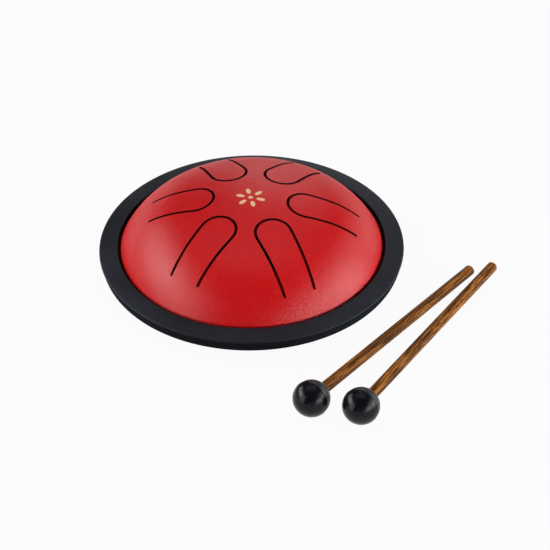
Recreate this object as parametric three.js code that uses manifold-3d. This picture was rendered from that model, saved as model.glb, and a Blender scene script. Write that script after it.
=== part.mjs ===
// Small steel tongue drum with a rubber rim ring, four rubber feet and a pair of rubber-headed mallets.
// Millimetres, +Z up. The drum is built round its own axis with the floor at zero, and the whole set is
// centred over the origin at the end.
import * as THREE from 'three';
import { mergeVertices } from 'three/addons/utils/BufferGeometryUtils.js';
import Module from 'manifold-3d';

const wasm = await Module();
wasm.setup();

// Drum body
const RIM_RADIUS = 90; // outside of the rubber ring, at its widest
const RING_WIDTH = 10.6; // from the ring's inside, at the flanges, to its outer edge
const RING_LIP = 2.8; // rubber above the upper flange and below the lower one, at the outer edge
const RING_CROWN = 1.4; // inner edge of the ring's top face above its outer edge
const RING_LEAN = 0.5; // how far that inner edge leans in towards the dome
const RING_WALL = 3.2; // rubber outside the flanges
const RING_TAPER = 1.4; // how much smaller the ring's radius is at its lower edge
const RING_ROUNDING = 0.9; // rounded upper outer edge
const RING_LOWER_ROUNDING = 2.4; // where the ring turns under at its lower outer edge
const SHEET = 1.2; // steel sheet of both shells
const DOME_RISE = 37.8; // crown above the upper flange
const CROWN_FLATNESS = 1.4545; // crown's radius against that of one sphere through crown and foot
const SHOULDER_SHARE = 0.5587; // shoulder's radius against that of the same sphere
const FLANGE_BEND = 0.8; // inside bend between a shell and its flange
const PAN_DEPTH = 6; // lower shell below its flange
const PAN_DRAFT = 0.35; // lean of the lower shell's wall, in radians from upright
const PAN_BEND = 4; // outside bend between that wall and the floor of the pan
const SOUND_HOLE_RADIUS = 20; // opening in the lower shell
const SOUND_HOLE_LIP = 2.6; // turned-in edge of that opening

// Tongues, each as long as its note asks: halving the length raises the note by two octaves
const TONGUE_NOTES = [0, 4, 9, 12, 7, 2]; // semitones above the lowest note, going round the drum
const FIRST_TONGUE_ANGLE = -66.55; // degrees from +X to the lowest tongue
const TIP_SHARE = 0.275; // middle of the slot at every tip, against the dome's radius
const LOWEST_ROOT_SHARE = 0.8487; // root of the lowest tongue, against the dome's radius
const TIP_ROUNDING_SHARE = 0.1337; // slot's middle line round the tip, against the dome's radius
const ROOT_WIDTH_SHARE = 0.877; // width of a tongue at its root against that at its tip
const SLOT_WIDTH = 1.65;
const SEMITONES_PER_HALF_LENGTH = 24;

// Feet
const FOOT_COUNT = 4;
const FOOT_RADIUS = 7;
const FOOT_HEIGHT = 4;
const FOOT_EDGE = 1.2; // rounded lower edge
const FOOT_MARGIN = 5; // flat floor of the pan left outside each foot
const STEM_RADIUS = 2.6;
const PLUG_GRIP = 1.3; // how far the plug inside the drum reaches over the edge of its hole
const PLUG_HEIGHT = 3;
const PLUG_TIP_SHARE = 0.5; // tip of the plug against its widest radius

// Mallets
const HEAD_RADIUS = 10.65;
const STICK_RADIUS = 3.33; // in the head
const STICK_END_RADIUS = 3.12; // at the free end, to which the stick tapers
const STICK_REACH = 155.3; // middle of the head to the stick's free end
const STICK_IN_HEAD = 2.5; // how far the stick runs beyond the middle of the head
const STICK_END_ROUNDING = 1.1;
const MALLET_TURN = 51.05; // degrees from +X to the left mallet's stick
const RIM_TO_STICK = 14.75; // rim ring to the left mallet's stick
const HEAD_SETBACK = 83.5; // left mallet's head behind the place where its stick passes nearest the drum
const MALLET_STAGGER = 11.6; // right mallet's head ahead of the left one, along the left stick
const HEAD_GAP = 4.1; // between the heads, across the left stick
const STICK_GAP = 2.4; // between the sticks' free ends, across the left stick

// Fits
const RING_CLEARANCE = 0.2; // rubber ring round the flanges
const DOME_CLEARANCE = 0.1; // ring's inner edge to the bend at the foot of the dome
const ROOT_GAP = 0.3; // line across each root that lets the tongue move on its own
const STEM_CLEARANCE = 0.3;
const STICK_CLEARANCE = 0.3;

// Smoothness
const DRUM_SEGMENTS = 60;
const SMALL_SEGMENTS = 20;
const SLOT_SEGMENTS = 6;
const CROWN_STEPS = 4;
const SHOULDER_STEPS = 6;
const BEND_STEPS = 2;
const EDGE_STEPS = 3;
const HEAD_STEPS = 10;
const MERGE_TOLERANCE = 1e-4; // corners nearer than this are one

// Levels, from the floor up
const panFloor = FOOT_HEIGHT;
const lowerFlange = panFloor + PAN_DEPTH;
const flangeJoint = lowerFlange + SHEET;
const upperFlange = flangeJoint + SHEET;
const ringTop = upperFlange + RING_CLEARANCE + RING_LIP;
const ringBottom = lowerFlange - RING_CLEARANCE - RING_LIP;

// Radii, from the rim in
const flangeRadius = RIM_RADIUS - RING_WALL - RING_CLEARANCE;
const ringInside = RIM_RADIUS - RING_WIDTH;
const domeRadius = ringInside - DOME_CLEARANCE; // where the bend ends and the flat flange begins
const footHoleRadius = STEM_RADIUS + STEM_CLEARANCE;
const plugRadius = footHoleRadius + PLUG_GRIP;

const red = { color: 0xb3202a, roughness: 0.42, metalness: 0 };
const charcoal = { color: 0x2f3034, roughness: 0.8, metalness: 0 };
const black = { color: 0x17171a, roughness: 0.35, metalness: 0 };
const varnishedWood = { color: 0x8a5529, roughness: 0.45, metalness: 0 };

/** Points along an arc in the profile plane, both ends included. Angles run from the outward radius. */
function arc(centre, radius, from, to, steps) {
  const points = [];
  for (let step = 0; step <= steps; step += 1) {
    const angle = from + ((to - from) * step) / steps;
    points.push(new THREE.Vector2(centre.x + radius * Math.cos(angle), centre.y + radius * Math.sin(angle)));
  }
  return points;
}

/** Turn a profile (radius, height) about +Z. The profile runs anticlockwise round the material. */
function turned(profile, segments) {
  return new THREE.LatheGeometry(profile, segments).rotateX(Math.PI / 2);
}

/** A closed profile: the same points with the first repeated at the end. */
function closed(points) {
  return [...points, points[0].clone()];
}

/** A solid for cutting and joining, from any closed geometry. */
function solid(geometry) {
  const bare = (geometry.index ? geometry.toNonIndexed() : geometry.clone());
  bare.deleteAttribute('normal');
  bare.deleteAttribute('uv');
  const merged = mergeVertices(bare, MERGE_TOLERANCE);
  const corners = merged.index.array;
  const kept = [];
  for (let at = 0; at < corners.length; at += 3) {
    const [a, b, c] = [corners[at], corners[at + 1], corners[at + 2]];
    if (a !== b && b !== c && c !== a) {
      kept.push(a, b, c);
    }
  }
  const vertProperties = new Float32Array(merged.attributes.position.array);
  const triVerts = new Uint32Array(kept);
  return new wasm.Manifold(new wasm.Mesh({ numProp: 3, vertProperties, triVerts }));
}

/** A mesh geometry from a solid. */
function geometryOf(body) {
  const mesh = body.getMesh();
  const geometry = new THREE.BufferGeometry();
  geometry.setAttribute('position', new THREE.BufferAttribute(new Float32Array(mesh.vertProperties), 3));
  geometry.setIndex(new THREE.BufferAttribute(new Uint32Array(mesh.triVerts), 1));
  geometry.computeVertexNormals();
  return geometry;
}

/** A named piece with its own material. */
function piece(name, geometry, finish) {
  const mesh = new THREE.Mesh(geometry, new THREE.MeshStandardMaterial(finish));
  mesh.name = name;
  return mesh;
}

/** Crown, shoulder and bend arcs that make up the dome, all tangent to one another. */
function domeArcs() {
  const sphere = (domeRadius ** 2 + DOME_RISE ** 2) / (2 * DOME_RISE);
  const crownRadius = sphere * CROWN_FLATNESS;
  const shoulderRadius = sphere * SHOULDER_SHARE;
  const crown = new THREE.Vector2(0, upperFlange + DOME_RISE - crownRadius);
  const bend = new THREE.Vector2(domeRadius, upperFlange + FLANGE_BEND);
  const span = bend.distanceTo(crown);
  const fromCrown = crownRadius - shoulderRadius;
  const fromBend = shoulderRadius + FLANGE_BEND;
  const along = (fromCrown ** 2 - fromBend ** 2 + span ** 2) / (2 * span);
  const aside = Math.sqrt(fromCrown ** 2 - along ** 2);
  const ahead = bend.clone().sub(crown).normalize();
  const shoulder = new THREE.Vector2(
    crown.x + ahead.x * along - ahead.y * aside,
    crown.y + ahead.y * along + ahead.x * aside,
  );
  return {
    crown,
    crownRadius,
    shoulder,
    shoulderRadius,
    bend,
    blendAngle: Math.atan2(shoulder.y - crown.y, shoulder.x - crown.x),
    footAngle: Math.atan2(bend.y - shoulder.y, bend.x - shoulder.x),
  };
}

/** The dome's surface from crown to flange, a given depth below its outside. */
function domeSurface(arcs, depth) {
  const crown = arc(arcs.crown, arcs.crownRadius - depth, Math.PI / 2, arcs.blendAngle, CROWN_STEPS);
  const shoulder = arc(
    arcs.shoulder,
    arcs.shoulderRadius - depth,
    arcs.blendAngle,
    arcs.footAngle,
    SHOULDER_STEPS,
  );
  const bend = arc(
    arcs.bend,
    FLANGE_BEND + depth,
    arcs.footAngle - Math.PI,
    -Math.PI / 2,
    BEND_STEPS,
  );
  crown[0].x = 0;
  return [...crown, ...shoulder.slice(1), ...bend.slice(1)];
}

/** The uncut upper shell: dome and flange. */
function domeBlank() {
  const arcs = domeArcs();
  const inside = domeSurface(arcs, SHEET);
  const outside = domeSurface(arcs, 0).reverse();
  const edge = [
    new THREE.Vector2(flangeRadius, flangeJoint),
    new THREE.Vector2(flangeRadius, upperFlange),
  ];
  return solid(turned([...inside, ...edge, ...outside], DRUM_SEGMENTS));
}

/** Plan sizes of one tongue, along its own middle line from the drum's axis. */
function tonguePlan(note) {
  const start = domeRadius * TIP_SHARE;
  const longest = domeRadius * LOWEST_ROOT_SHARE - start;
  const rounding = domeRadius * TIP_ROUNDING_SHARE;
  const root = start + longest * 2 ** (-note / SEMITONES_PER_HALF_LENGTH);
  const tip = start + rounding;
  const rootHalfWidth = rounding * ROOT_WIDTH_SHARE;
  const run = root - tip;
  const lean = Math.asin(rounding / Math.hypot(run, rootHalfWidth)) - Math.atan2(rootHalfWidth, run);
  return { root, tip, rounding, rootHalfWidth, lean };
}

/** Half width of a tongue's outline at a distance along it, on the straight part of its side. */
function sideAt(plan, rounding, distance) {
  return (rounding - (distance - plan.tip) * Math.sin(plan.lean)) / Math.cos(plan.lean);
}

/** Outline of a tongue: round tip, straight sides and a square end. */
function tongueOutline(plan, rounding, end) {
  const outline = new THREE.Shape();
  outline.moveTo(end, -sideAt(plan, rounding, end));
  outline.lineTo(end, sideAt(plan, rounding, end));
  outline.absarc(plan.tip, 0, rounding, Math.PI / 2 - plan.lean, 1.5 * Math.PI + plan.lean, false);
  outline.closePath();
  return outline;
}

/** Outline of the slot round a tongue, with rounded ends. */
function slotOutline(plan) {
  const half = SLOT_WIDTH / 2;
  const upright = Math.PI / 2 - plan.lean;
  const around = 2 * Math.PI - upright;
  const outline = new THREE.Shape();
  outline.absarc(plan.root, plan.rootHalfWidth, half, upright - Math.PI, upright, false);
  outline.absarc(plan.tip, 0, plan.rounding + half, upright, around, false);
  outline.absarc(plan.root, -plan.rootHalfWidth, half, around, around + Math.PI, false);
  outline.absarc(plan.tip, 0, plan.rounding - half, around, upright, true);
  outline.closePath();
  return outline;
}

/** An upright cutter through the dome with a plan outline, turned to its tongue's place. */
function cutter(outline, angle) {
  const options = { depth: DOME_RISE + SHEET, bevelEnabled: false, curveSegments: SLOT_SEGMENTS };
  return solid(new THREE.ExtrudeGeometry(outline, options).rotateZ(angle).translate(0, 0, upperFlange));
}

/** The upper shell with its slots, and the tongues that lie in them. */
function upperShell() {
  const blank = domeBlank();
  const group = new THREE.Group();
  group.name = 'upper_shell';
  let shell = blank;
  TONGUE_NOTES.forEach((note, place) => {
    const plan = tonguePlan(note);
    const angle = THREE.MathUtils.degToRad(FIRST_TONGUE_ANGLE) + (2 * Math.PI * place) / TONGUE_NOTES.length;
    const tongueEdge = plan.rounding - SLOT_WIDTH / 2;
    const tongue = cutter(tongueOutline(plan, tongueEdge, plan.root), angle);
    const window = cutter(tongueOutline(plan, plan.rounding, plan.root + ROOT_GAP), angle);
    const slot = cutter(slotOutline(plan), angle);
    shell = shell.subtract(window).subtract(slot);
    group.add(piece(`tongue_${place + 1}`, geometryOf(blank.intersect(tongue)), red));
  });
  group.add(piece('top_shell', geometryOf(shell), red));
  return group;
}

/** The lower shell's surface from the sound hole out to the flange, a given depth above its outside. */
function panSurface(depth) {
  const lip = new THREE.Vector2(SOUND_HOLE_RADIUS + SOUND_HOLE_LIP, panFloor + SOUND_HOLE_LIP);
  const bend = new THREE.Vector2(panFlatRadius(), panFloor + PAN_BEND);
  const rim = new THREE.Vector2(domeRadius, lowerFlange - FLANGE_BEND);
  return [
    ...arc(lip, SOUND_HOLE_LIP - depth, Math.PI, 1.5 * Math.PI, EDGE_STEPS),
    ...arc(bend, PAN_BEND - depth, -Math.PI / 2, -PAN_DRAFT, EDGE_STEPS),
    ...arc(rim, FLANGE_BEND + depth, Math.PI - PAN_DRAFT, Math.PI / 2, BEND_STEPS),
  ];
}

/** Radius where the flat floor of the lower shell ends. */
function panFlatRadius() {
  const drop = PAN_DEPTH - FLANGE_BEND - PAN_BEND;
  const bends = FLANGE_BEND + PAN_BEND;
  return domeRadius - (bends + drop * Math.sin(PAN_DRAFT)) / Math.cos(PAN_DRAFT);
}

/** Places of the feet round the drum. */
function footPlaces() {
  const reach = panFlatRadius() - FOOT_MARGIN - FOOT_RADIUS;
  return Array.from({ length: FOOT_COUNT }, (unused, place) => {
    const angle = (2 * Math.PI * (place + 0.5)) / FOOT_COUNT;
    return new THREE.Vector3(reach * Math.cos(angle), reach * Math.sin(angle), 0);
  });
}

/** The lower shell: a shallow pan with a sound hole and a hole for each foot. */
function lowerShell() {
  const edge = [
    new THREE.Vector2(flangeRadius, lowerFlange),
    new THREE.Vector2(flangeRadius, flangeJoint),
  ];
  const profile = closed([...panSurface(0), ...edge, ...panSurface(SHEET).reverse()]);
  const hole = new THREE.CylinderGeometry(
    footHoleRadius,
    footHoleRadius,
    PAN_DEPTH,
    SMALL_SEGMENTS,
  ).rotateX(Math.PI / 2);
  const shell = footPlaces().reduce(
    (body, place) => body.subtract(solid(hole.clone().translate(place.x, place.y, panFloor))),
    solid(turned(profile, DRUM_SEGMENTS)),
  );
  return piece('bottom_shell', geometryOf(shell), red);
}

/** The rubber ring, a channel that grips both flanges from outside. */
function rimRing() {
  const lower = new THREE.Vector2(
    RIM_RADIUS - RING_TAPER - RING_LOWER_ROUNDING,
    ringBottom + RING_LOWER_ROUNDING,
  );
  const upper = new THREE.Vector2(RIM_RADIUS - RING_ROUNDING, ringTop - RING_ROUNDING);
  const up = upper.clone().sub(lower);
  const sideAngle = up.angle() - Math.acos((RING_LOWER_ROUNDING - RING_ROUNDING) / up.length());
  const inner = new THREE.Vector2(ringInside - RING_LEAN, ringTop + RING_CROWN);
  const across = inner.clone().sub(upper);
  const topAngle = across.angle() - Math.acos(RING_ROUNDING / across.length());
  const channelRadius = flangeRadius + RING_CLEARANCE;
  const profile = closed([
    new THREE.Vector2(ringInside, ringBottom),
    ...arc(lower, RING_LOWER_ROUNDING, -Math.PI / 2, sideAngle, EDGE_STEPS),
    ...arc(upper, RING_ROUNDING, sideAngle, topAngle, EDGE_STEPS),
    inner,
    new THREE.Vector2(ringInside, upperFlange + RING_CLEARANCE),
    new THREE.Vector2(channelRadius, upperFlange + RING_CLEARANCE),
    new THREE.Vector2(channelRadius, lowerFlange - RING_CLEARANCE),
    new THREE.Vector2(ringInside, lowerFlange - RING_CLEARANCE),
  ]);
  return piece('rim_ring', turned(profile, DRUM_SEGMENTS), charcoal);
}

/** One rubber foot: a pad under the pan, with a stem through it and a plug inside. */
function foot(name, place) {
  const edge = new THREE.Vector2(FOOT_RADIUS - FOOT_EDGE, FOOT_EDGE);
  const plugSeat = panFloor + SHEET;
  const profile = [
    new THREE.Vector2(0, 0),
    ...arc(edge, FOOT_EDGE, -Math.PI / 2, 0, EDGE_STEPS),
    new THREE.Vector2(FOOT_RADIUS, panFloor),
    new THREE.Vector2(STEM_RADIUS, panFloor),
    new THREE.Vector2(STEM_RADIUS, plugSeat),
    new THREE.Vector2(plugRadius, plugSeat),
    new THREE.Vector2(plugRadius * PLUG_TIP_SHARE, plugSeat + PLUG_HEIGHT),
    new THREE.Vector2(0, plugSeat + PLUG_HEIGHT),
  ];
  const mesh = piece(name, turned(profile, SMALL_SEGMENTS), charcoal);
  mesh.position.copy(place);
  return mesh;
}

/** A mallet's rubber ball, bored for its stick. The stick leaves it along +Z. */
function malletHead(name) {
  const boreRadius = STICK_RADIUS + STICK_CLEARANCE;
  const mouth = Math.acos(boreRadius / HEAD_RADIUS);
  const boreEnd = -STICK_IN_HEAD - STICK_CLEARANCE;
  const ball = arc(new THREE.Vector2(0, 0), HEAD_RADIUS, -Math.PI / 2, mouth, HEAD_STEPS);
  ball[0].x = 0;
  const bore = [new THREE.Vector2(boreRadius, boreEnd), new THREE.Vector2(0, boreEnd)];
  return piece(name, turned([...ball, ...bore], SMALL_SEGMENTS), black);
}

/** A mallet's wooden stick: straight in the head, then tapering to a rounded free end. */
function malletStick(name) {
  const rounding = new THREE.Vector2(
    STICK_END_RADIUS - STICK_END_ROUNDING,
    STICK_REACH - STICK_END_ROUNDING,
  );
  const profile = [
    new THREE.Vector2(0, -STICK_IN_HEAD),
    new THREE.Vector2(STICK_RADIUS, -STICK_IN_HEAD),
    new THREE.Vector2(STICK_RADIUS, HEAD_RADIUS),
    ...arc(rounding, STICK_END_ROUNDING, 0, Math.PI / 2, EDGE_STEPS),
    new THREE.Vector2(0, STICK_REACH),
  ];
  return piece(name, turned(profile, SMALL_SEGMENTS), varnishedWood);
}

/** Where both mallets lie: the place of each head on the floor and the turn of its stick from +X. */
function malletPlaces() {
  const turn = THREE.MathUtils.degToRad(MALLET_TURN);
  const ahead = new THREE.Vector2(Math.cos(turn), Math.sin(turn));
  const across = new THREE.Vector2(ahead.y, -ahead.x);
  const left = across.clone().multiplyScalar(RIM_RADIUS + RIM_TO_STICK + STICK_RADIUS);
  left.addScaledVector(ahead, -HEAD_SETBACK);
  const headSpread = 2 * HEAD_RADIUS + HEAD_GAP;
  const endSpread = 2 * STICK_END_RADIUS + STICK_GAP;
  const right = left.clone().addScaledVector(ahead, MALLET_STAGGER).addScaledVector(across, headSpread);
  const closing = Math.asin((headSpread - endSpread) / STICK_REACH);
  return { left: { head: left, turn }, right: { head: right, turn: turn + closing } };
}

/** A mallet lying on the floor on its ball and on the stick's free end. */
function mallet(name, place) {
  const group = new THREE.Group();
  group.name = name;
  group.add(malletHead(`${name}_head`), malletStick(`${name}_stick`));
  const droop = Math.asin((HEAD_RADIUS - STICK_END_RADIUS) / STICK_REACH);
  group.rotation.set(0, Math.PI / 2 + droop, place.turn, 'ZYX');
  group.position.set(place.head.x, place.head.y, HEAD_RADIUS);
  return group;
}

const drum = new THREE.Group();
drum.name = 'drum';
drum.add(upperShell(), lowerShell(), rimRing());
footPlaces().forEach((place, index) => drum.add(foot(`foot_${index + 1}`, place)));

const set = new THREE.Group();
set.name = 'tongue_drum_set';
const places = malletPlaces();
set.add(drum, mallet('mallet_left', places.left), mallet('mallet_right', places.right));
set.updateMatrixWorld(true);
const middle = new THREE.Box3().setFromObject(set, true).getCenter(new THREE.Vector3());
set.position.set(-middle.x, -middle.y, 0);
set.updateMatrixWorld(true);

export default set;
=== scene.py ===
"""Dresses the steel tongue drum and its two mallets for a studio picture.

Lengths are in metres, in the part's own frame: +Z is up and the floor is at zero.
"""

import logging
import math
from collections.abc import Callable
from dataclasses import dataclass
from enum import Enum

import bmesh
import bpy
from mathutils import Euler, Matrix, Vector


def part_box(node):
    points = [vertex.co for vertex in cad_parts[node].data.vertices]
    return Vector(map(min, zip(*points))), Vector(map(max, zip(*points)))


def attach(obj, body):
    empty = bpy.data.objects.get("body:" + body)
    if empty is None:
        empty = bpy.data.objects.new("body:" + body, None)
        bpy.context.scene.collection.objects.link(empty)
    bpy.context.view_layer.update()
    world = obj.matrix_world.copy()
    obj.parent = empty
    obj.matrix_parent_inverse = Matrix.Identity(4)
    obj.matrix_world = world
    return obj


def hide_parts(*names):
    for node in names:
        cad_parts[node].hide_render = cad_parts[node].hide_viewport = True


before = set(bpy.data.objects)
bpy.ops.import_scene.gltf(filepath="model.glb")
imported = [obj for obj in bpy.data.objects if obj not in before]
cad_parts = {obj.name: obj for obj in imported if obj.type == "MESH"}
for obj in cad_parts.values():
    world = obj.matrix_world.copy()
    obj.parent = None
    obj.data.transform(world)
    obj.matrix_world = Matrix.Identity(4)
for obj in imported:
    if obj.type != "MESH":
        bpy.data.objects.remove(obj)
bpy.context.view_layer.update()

LOG = logging.getLogger("tongue_drum")
MM = 0.001
WELD = 2e-6  # corners nearer than this are one
TINY = 1e-9  # keeps a division at the drum's axis from failing

Colour = tuple[float, float, float]
Profile = list[tuple[float, float]]


class Slot(Enum):
    """Material slots of the part's record."""

    PAINTED_STEEL = "painted_steel"
    RIM_RUBBER = "rim_rubber"
    FOOT_RUBBER = "foot_rubber"
    HEAD_RUBBER = "head_rubber"
    STICK_WOOD = "stick_wood"


class Side(Enum):
    """The two mallets."""

    LEFT = "left"
    RIGHT = "right"


def srgb(red: int, green: int, blue: int) -> Colour:
    """Turns a colour as seen on a screen into the linear colour that shaders take.

    Args:
        red: Red from 0 to 255.
        green: Green from 0 to 255.
        blue: Blue from 0 to 255.

    Returns:
        The linear colour.
    """
    shares = (red / 255.0, green / 255.0, blue / 255.0)
    return tuple(c / 12.92 if c <= 0.04045 else ((c + 0.055) / 1.055) ** 2.4 for c in shares)


def arc(centre: tuple[float, float], radius: float, start: float, end: float, steps: int) -> Profile:
    """Points along an arc of a profile, both ends included.

    Args:
        centre: Radius and height of the arc's middle.
        radius: Radius of the arc.
        start: First angle, from the outward radius.
        end: Last angle.
        steps: Number of straight pieces.

    Returns:
        The points as (radius, height).
    """
    turns = [start + (end - start) * step / steps for step in range(steps + 1)]
    return [(centre[0] + radius * math.cos(t), centre[1] + radius * math.sin(t)) for t in turns]


class Bench:
    """Modelling steps that several pieces share."""

    @staticmethod
    def clear() -> None:
        """Leaves edit mode and deselects everything."""
        if bpy.context.object is not None and bpy.context.object.mode != "OBJECT":
            bpy.ops.object.mode_set(mode="OBJECT")
        bpy.ops.object.select_all(action="DESELECT")

    @staticmethod
    def take(piece: bpy.types.Object) -> None:
        """Makes one piece the only selected and active one."""
        Bench.clear()
        piece.select_set(True)
        bpy.context.view_layer.objects.active = piece

    @staticmethod
    def edit(piece: bpy.types.Object) -> None:
        """Opens one piece in edit mode with everything in it selected."""
        Bench.take(piece)
        bpy.ops.object.mode_set(mode="EDIT")
        bpy.ops.mesh.select_all(action="SELECT")

    @staticmethod
    def named(name: str) -> bpy.types.Object:
        """Gives the active object and its mesh a name."""
        piece = bpy.context.object
        piece.name = name
        piece.data.name = name
        return piece

    @staticmethod
    def drawn(name: str, points: Profile, closed: bool, turn: float = 0.0) -> bpy.types.Object:
        """Draws a profile as a chain of edges in an upright plane through the Z axis.

        Args:
            name: Name of the new piece.
            points: Radius and height of each corner.
            closed: Whether the last corner joins the first.
            turn: Angle of the plane from +X.

        Returns:
            The piece, left in edit mode.
        """
        Bench.clear()
        bpy.ops.mesh.primitive_plane_add(size=MM)
        piece = Bench.named(name)
        bpy.ops.object.mode_set(mode="EDIT")
        bpy.ops.mesh.select_mode(type="VERT")
        bpy.ops.mesh.select_all(action="SELECT")
        bpy.ops.mesh.merge(type="CENTER")
        spots = [Vector((r * math.cos(turn), r * math.sin(turn), z)) for r, z in points]
        bpy.ops.transform.translate(value=spots[0])
        path = spots + [spots[0]] if closed else spots
        for here, there in zip(path, path[1:]):
            bpy.ops.mesh.extrude_region_move(TRANSFORM_OT_translate={"value": there - here})
        return piece

    @staticmethod
    def turned(
        name: str, points: Profile, steps: int, closed: bool = False, turn: float = 0.0
    ) -> bpy.types.Object:
        """Spins a profile all the way round the Z axis.

        Args:
            name: Name of the new piece.
            points: Radius and height of each corner.
            steps: Number of steps round the axis.
            closed: Whether the profile closes on itself.
            turn: Angle of the first step from +X.

        Returns:
            The piece, in object mode, with its faces pointing out.
        """
        piece = Bench.drawn(name, points, closed, turn)
        bpy.ops.mesh.select_all(action="SELECT")
        bpy.ops.mesh.spin(steps=steps, angle=2 * math.pi, center=(0, 0, 0), axis=(0, 0, 1))
        bpy.ops.mesh.select_all(action="SELECT")
        bpy.ops.mesh.remove_doubles(threshold=WELD)
        bpy.ops.mesh.normals_make_consistent(inside=False)
        bpy.ops.object.mode_set(mode="OBJECT")
        return piece

    @staticmethod
    def laid(name: str, columns: int, rows: int, place: Callable[[int, int], Vector]) -> bpy.types.Object:
        """Lays a grid primitive over a surface.

        Args:
            name: Name of the new piece.
            columns: Number of faces along the first way.
            rows: Number of faces along the second way.
            place: Gives the spot of a corner from its column and row.

        Returns:
            The piece, in object mode.
        """
        Bench.clear()
        bpy.ops.mesh.primitive_grid_add(x_subdivisions=columns, y_subdivisions=rows, size=2)
        piece = Bench.named(name)
        for corner in piece.data.vertices:
            column = round((corner.co.x + 1) / 2 * columns)
            row = round((corner.co.y + 1) / 2 * rows)
            corner.co = place(column, row)
        return piece

    @staticmethod
    def joined(name: str, pieces: list[bpy.types.Object]) -> bpy.types.Object:
        """Joins pieces into the first one and welds them where they meet."""
        Bench.take(pieces[0])
        for piece in pieces[1:]:
            piece.select_set(True)
        bpy.ops.object.join()
        piece = Bench.named(name)
        Bench.edit(piece)
        bpy.ops.mesh.remove_doubles(threshold=WELD)
        bpy.ops.mesh.normals_make_consistent(inside=False)
        bpy.ops.object.mode_set(mode="OBJECT")
        return piece

    @staticmethod
    def thickened(piece: bpy.types.Object, sheet: float) -> None:
        """Gives a surface a thickness below it, and applies it."""
        Bench.take(piece)
        bpy.ops.object.modifier_add(type="SOLIDIFY")
        solidify = piece.modifiers[-1]
        solidify.thickness = sheet
        solidify.offset = -1.0
        solidify.use_even_offset = True
        bpy.ops.object.modifier_apply(modifier=solidify.name)

    @staticmethod
    def softened(
        piece: bpy.types.Object, width: float, segments: int, wanted: Callable[[bmesh.types.BMEdge], bool]
    ) -> None:
        """Bevels the edges of a piece that a test picks.

        Args:
            piece: The piece to bevel.
            width: Width of the bevel.
            segments: Number of faces across the bevel.
            wanted: Tells whether an edge is bevelled.
        """
        Bench.edit(piece)
        bpy.ops.mesh.select_all(action="DESELECT")
        bpy.ops.mesh.select_mode(type="EDGE")
        body = bmesh.from_edit_mesh(piece.data)
        for edge in body.edges:
            edge.select_set(wanted(edge))
        body.select_flush_mode()
        bmesh.update_edit_mesh(piece.data)
        bpy.ops.mesh.bevel(offset=width, segments=segments, affect="EDGES", clamp_overlap=True)
        bpy.ops.object.mode_set(mode="OBJECT")

    @staticmethod
    def smoothed(piece: bpy.types.Object, angle: float = 35.0) -> None:
        """Shades a piece smooth, apart from edges sharper than an angle in degrees."""
        Bench.take(piece)
        bpy.ops.object.shade_smooth_by_angle(angle=math.radians(angle))

    @staticmethod
    def placed(piece: bpy.types.Object, where: Matrix) -> None:
        """Moves a finished piece to its place and puts that place into its mesh."""
        Bench.take(piece)
        piece.matrix_world = where
        bpy.ops.object.transform_apply(location=True, rotation=True, scale=True)


def hand_over(piece: bpy.types.Object, node: str, body: str, slot: Slot, finish: bpy.types.Material) -> None:
    """Dresses a finished piece, sets it on its body and lets it stand for its solid.

    Args:
        piece: The finished piece.
        node: The solid that it stands for.
        body: The body that it moves with.
        slot: The record's slot for the piece; not used.
        finish: Its material.
    """
    piece.data.materials.clear()
    piece.data.materials.append(finish)
    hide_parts(node)
    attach(piece, body)
    LOG.info("%s: %d faces, stands for %s", piece.name, len(piece.data.polygons), node)


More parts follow.
